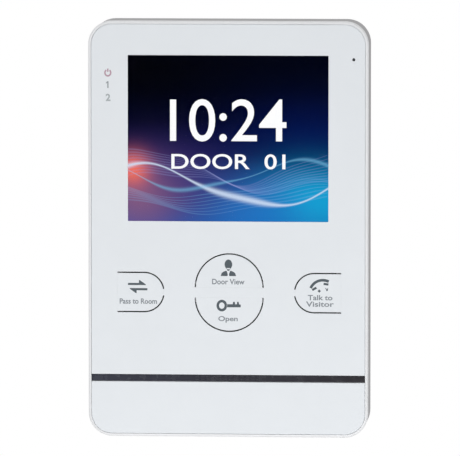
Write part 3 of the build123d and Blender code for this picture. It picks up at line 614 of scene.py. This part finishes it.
def key_polygons(bx, bz):
    """A key sign: ring bow, straight shank with two bits on its upper side."""
    outer, inner = ellipse(bx, bz, 2.08, 2.28, 44), ellipse(bx, bz, 1.08, 1.25, 36)
    shank = [(bx + 1.95, bz - 0.62), (bx + 7.40, bz - 0.62), (bx + 7.40, bz + 0.42), (bx + 6.80, bz + 0.50), (bx + 6.55, bz + 1.50), (bx + 6.05, bz + 1.50), (bx + 5.85, bz + 0.55), (bx + 5.25, bz + 0.55), (bx + 5.05, bz + 1.50), (bx + 4.45, bz + 1.50), (bx + 4.25, bz + 0.55), (bx + 1.95, bz + 0.55)]
    return [[outer, inner], [shank]]


def arrows_polygons():
    """Two half-headed arrows, one each way."""
    (x0, z0), (x1, _) = px(128.0, 283.9), px(146.0, 283.9)
    up = [(x0, z0 - 0.42), (x1, z0 - 0.42), (x1 - 0.2, z0 - 0.05), (x1 - 2.45, z0 + 1.55), (x1 - 2.75, z0 + 1.55), (x1 - 2.75, z0 + 0.42), (x0, z0 + 0.42)]
    (x2, z2), (x3, _) = px(129.6, 289.1), px(147.4, 289.1)
    down = [(x3, z2 + 0.42), (x2, z2 + 0.42), (x2 + 0.2, z2 + 0.05), (x2 + 2.45, z2 - 1.55), (x2 + 2.75, z2 - 1.55), (x2 + 2.75, z2 - 0.42), (x3, z2 - 0.42)]
    return [[up], [down]]


def thick_arc(points, width):
    """A band of the given widths along a line of points."""
    left, right = [], []
    for i, (x, z) in enumerate(points):
        xa, za = points[max(i - 1, 0)]
        xb, zb = points[min(i + 1, len(points) - 1)]
        d = math.hypot(xb - xa, zb - za)
        nx, nz = -(zb - za) / d, (xb - xa) / d
        w = width[i] if isinstance(width, (list, tuple)) else width
        left.append((x + nx * w / 2, z + nz * w / 2))
        right.append((x - nx * w / 2, z - nz * w / 2))
    return left + right[::-1]


def handset_polygons():
    """A lifted telephone handset: an arched grip with an ear block at each end, and two small sound marks under it."""
    cx, cz = px(322.8, 293.0)
    arc = [(cx + 5.1 * math.cos(math.radians(a)), cz + 5.0 * math.sin(math.radians(a))) for a in range(158, 58, -5)]
    out = [[thick_arc(arc, 1.05)]]
    for (bx, bz), tilt in ((px(314.3, 288.9), 30), (px(326.0, 284.2), -8)):
        c, s = math.cos(math.radians(tilt)), math.sin(math.radians(tilt))
        out.append([[(bx + c * u - s * w, bz + s * u + c * w) for u, w in ((-0.95, -0.42), (0.95, -0.42), (0.95, 0.42), (-0.95, 0.42))]])
    mx, mz = px(319.2, 291.0)
    out.append([[(mx - 0.62, mz - 0.12), (mx + 0.05, mz - 0.66), (mx + 0.66, mz - 0.05), (mx - 0.05, mz + 0.62)]])
    mx, mz = px(326.5, 289.4)
    out.append([[(mx - 0.62, mz + 0.70), (mx - 0.20, mz + 0.42), (mx + 0.10, mz + 0.05), (mx + 0.62, mz + 0.62), (mx + 0.52, mz - 0.55), (mx - 0.05, mz - 0.72), (mx - 0.12, mz - 0.20)]])
    return out


WEIGHT = 0.00002
print_object("monitor_mark", person_polygons(*px(228.4, 268.6)), mat_ink, "monitor_key",
             texts=[("Door View", *px(228.3, 281.7), 2.15, 12.7, WEIGHT)], text_material=mat_label)
print_object("unlock_mark", key_polygons(*px(221.8, 305.6)), mat_ink, "unlock_key",
             texts=[("Open", *px(228.0, 319.4), 2.55, 7.6, WEIGHT)], text_material=mat_label)
print_object("transfer_mark", arrows_polygons(), mat_ink, "transfer_key",
             texts=[("Pass to Room", *px(138.3, 301.1), 2.1, 14.6, WEIGHT)], text_material=mat_label)
print_object("answer_mark", handset_polygons(), mat_ink, "answer_key",
             texts=[("Talk to", *px(320.1, 297.7), 2.05, 9.6, WEIGHT), ("Visitor", *px(319.9, 304.2), 2.05, 10.9, WEIGHT)], text_material=mat_label)

# status marks: the power sign, and the numerals of the two door stations
mat_mauve = ink("ink_mauve", srgb(182, 150, 164))
mat_status = ink("ink_status", srgb(150, 156, 160))
mat_status_pale = ink("ink_status_pale", srgb(168, 175, 178))
sx, sz = px(107.8, 72.7)
power_arc = [(sx + 1.12 * math.cos(math.radians(a)), sz + 1.24 * math.sin(math.radians(a))) for a in range(124, 417, 6)]
print_object("power_mark", [[thick_arc(power_arc, 0.58)], [[(sx - 0.27, sz + 0.35), (sx + 0.27, sz + 0.35), (sx + 0.27, sz + 1.62), (sx - 0.27, sz + 1.62)]]], mat_mauve, "unit")
sx, sz = px(107.6, 84.6)
print_object("station_one_mark", [[[(sx - 0.12, sz - 1.32), (sx + 0.36, sz - 1.32), (sx + 0.36, sz + 1.32), (sx - 0.02, sz + 1.32), (sx - 0.62, sz + 0.86), (sx - 0.62, sz + 0.42), (sx - 0.12, sz + 0.72)]]], mat_status, "unit")
sx, sz = px(108.3, 97.4)
print_object("station_two_mark", [], mat_status_pale, "unit", texts=[("2", sx - 0.1, sz, 2.85, 1.9, 0.00003)])


# ---------------------------------------------------------------- acoustic mesh in the strip's sound slots
def mesh_cloth_material():
    """Dark woven acoustic mesh: threads crossing at a 0.14 mm pitch."""
    m = Tree("acoustic_mesh", base=srgb(58, 58, 64), rough=0.7, specular=0.3)
    p = m.xyz()
    warp = m.math("ABSOLUTE", m.math("SINE", m.mul(p["X"], math.pi / 0.00014)))
    weft = m.math("ABSOLUTE", m.math("SINE", m.mul(p["Z"], math.pi / 0.00014)))
    thread = m.math("MAXIMUM", warp, weft)
    m.colour(m.mix(thread, srgb(32, 32, 36), srgb(68, 68, 77)))
    m.bump(thread, 0.4, 0.00004)
    return m.mat


def sound_mesh():
    """One slightly crowned plug of mesh cloth for each of the 24 slots, two rows of twelve."""
    lo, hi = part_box("accent_strip")
    mid_x, mid_z = (lo.x + hi.x) / 2, (lo.z + hi.z) / 2
    bm = bmesh.new()

    def loop(cx, cz, radius, half, y):
        pts = []
        for side in (1, -1):
            for i in range(9):
                a = math.radians(side * 90 - 22.5 * i * 1.0) if side == 1 else math.radians(-90 - 22.5 * i)
                pts.append((cx + side * half + radius * math.cos(a), y, cz + radius * math.sin(a)))
        return [bm.verts.new(q) for q in pts]

    for i in range(12):
        for j in range(2):
            cx, cz = mid_x + (i - 5.5) * 2.2 * MM, mid_z + (j - 0.5) * 1.1 * MM
            rings = [loop(cx, cz, r * MM, h * MM, lo.y + d * MM) for r, h, d in ((0.24, 0.5, 0.60), (0.24, 0.5, 0.16), (0.19, 0.48, 0.11), (0.10, 0.44, 0.09))]
            for a, b in zip(rings, rings[1:]):
                for k in range(18):
                    bm.faces.new((a[k], a[(k + 1) % 18], b[(k + 1) % 18], b[k]))
            bm.faces.new(rings[0])
            bm.faces.new(rings[-1])
    bmesh.ops.recalc_face_normals(bm, faces=bm.faces[:])
    mesh = bpy.data.meshes.new("sound_mesh")
    bm.to_mesh(mesh)
    bm.free()
    set_smooth(mesh, 40)
    o = link("sound_mesh", mesh, mesh_cloth_material())
    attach(o, "unit")


sound_mesh()

# ---------------------------------------------------------------- figures on the display
def white_light(name, colour, strength):
    m = Tree(name, base=(0.02, 0.02, 0.02, 1), rough=0.4, specular=0.1)
    m.link(m.mix(m.noise(900, 2), tint(colour, 0.97), colour), m.bsdf.inputs["Emission Color"])
    m.bsdf.inputs["Emission Strength"].default_value = strength
    return m.mat


mat_digits = white_light("display_white", srgb(255, 255, 255), 1.0)
print_object("display_clock", [], mat_digits, "unit", y=GLASS_FRONT,
             texts=[("10:24", *px(228.2, 120.4, GLASS_FRONT / MM), 16.6, 45.5, 0.000004)])
print_object("display_line", [], mat_digits, "unit", y=GLASS_FRONT,
             texts=[("DOOR  01", *px(228.4, 161.6, GLASS_FRONT / MM), 5.9, 44.6, 0.00001)])

# ---------------------------------------------------------------- stage and light
bpy.ops.mesh.primitive_circle_add(vertices=96, radius=4.5, fill_type="NGON", location=(0, 0.4, -3.4))
floor = bpy.context.object
floor.name = "floor"
fm = Tree("floor_pale", base=(0.86, 0.86, 0.86, 1), rough=0.6, specular=0.2)
fm.colour(fm.mix(fm.noise(3, 3), (0.85, 0.85, 0.85, 1), (0.88, 0.88, 0.88, 1)))
floor.data.materials.append(fm.mat)

world = bpy.data.worlds.new("studio")
scene.world = world
world.use_nodes = True
wt = world.node_tree
wt.nodes.clear()
wo = wt.nodes.new("ShaderNodeOutputWorld")
bg_seen, bg_light = wt.nodes.new("ShaderNodeBackground"), wt.nodes.new("ShaderNodeBackground")
mixer, path = wt.nodes.new("ShaderNodeMixShader"), wt.nodes.new("ShaderNodeLightPath")
bg_seen.inputs["Color"].default_value = (1, 1, 1, 1)
bg_seen.inputs["Strength"].default_value = 1.0
wt.links.new(path.outputs["Is Camera Ray"], mixer.inputs[0])
wt.links.new(bg_light.outputs[0], mixer.inputs[1])
wt.links.new(bg_seen.outputs[0], mixer.inputs[2])
wt.links.new(mixer.outputs[0], wo.inputs[0])
# the room's light: even, with a darker patch straight in front of the object so that the display stays deep
tc = wt.nodes.new("ShaderNodeTexCoord")
dot = wt.nodes.new("ShaderNodeVectorMath")
dot.operation = "DOT_PRODUCT"
d = Vector((-0.08, -1.0, -0.09)).normalized()
dot.inputs[1].default_value = d
wt.links.new(tc.outputs["Generated"], dot.inputs[0])
fade = wt.nodes.new("ShaderNodeMapRange")
fade.interpolation_type = "SMOOTHSTEP"
fade.inputs["From Min"].default_value, fade.inputs["From Max"].default_value = 0.72, 0.97
fade.inputs["To Min"].default_value, fade.inputs["To Max"].default_value = 0.655, 0.05
wt.links.new(dot.outputs["Value"], fade.inputs["Value"])
up = wt.nodes.new("ShaderNodeSeparateXYZ")
wt.links.new(tc.outputs["Generated"], up.inputs[0])
low = wt.nodes.new("ShaderNodeMapRange")
low.interpolation_type = "SMOOTHSTEP"
low.inputs["From Min"].default_value, low.inputs["From Max"].default_value = -0.75, -0.12
low.inputs["To Min"].default_value, low.inputs["To Max"].default_value = 0.45, 1.0
wt.links.new(up.outputs["Z"], low.inputs["Value"])
both = wt.nodes.new("ShaderNodeMath")
both.operation = "MULTIPLY"
wt.links.new(fade.outputs["Result"], both.inputs[0])
wt.links.new(low.outputs["Result"], both.inputs[1])
wt.links.new(both.outputs[0], bg_light.inputs["Strength"])
bg_light.inputs["Color"].default_value = (1.0, 1.0, 1.0, 1)


def area(name, location, target, size, energy, colour=(1, 1, 1)):
    data = bpy.data.lights.new(name, "AREA")
    data.shape, data.size, data.energy, data.color = "DISK", size, energy, colour
    o = bpy.data.objects.new(name, data)
    scene.collection.objects.link(o)
    o.location = location
    o.rotation_mode = "QUATERNION"
    o.rotation_quaternion = (Vector(target) - Vector(location)).to_track_quat("-Z", "Y")
    return o


area("key_left", (-1.15, -1.35, 0.25), (0, 0, 0), 0.9, 4.6)
area("key_right", (1.25, -1.25, -0.10), (0, 0, 0), 0.9, 3.35)
area("low_fill", (0.1, -0.95, -0.62), (0, 0, -0.03), 0.6, 5.4)
area("top_soft", (-0.15, -0.25, 1.4), (0, 0, 0.05), 0.8, 2.4)
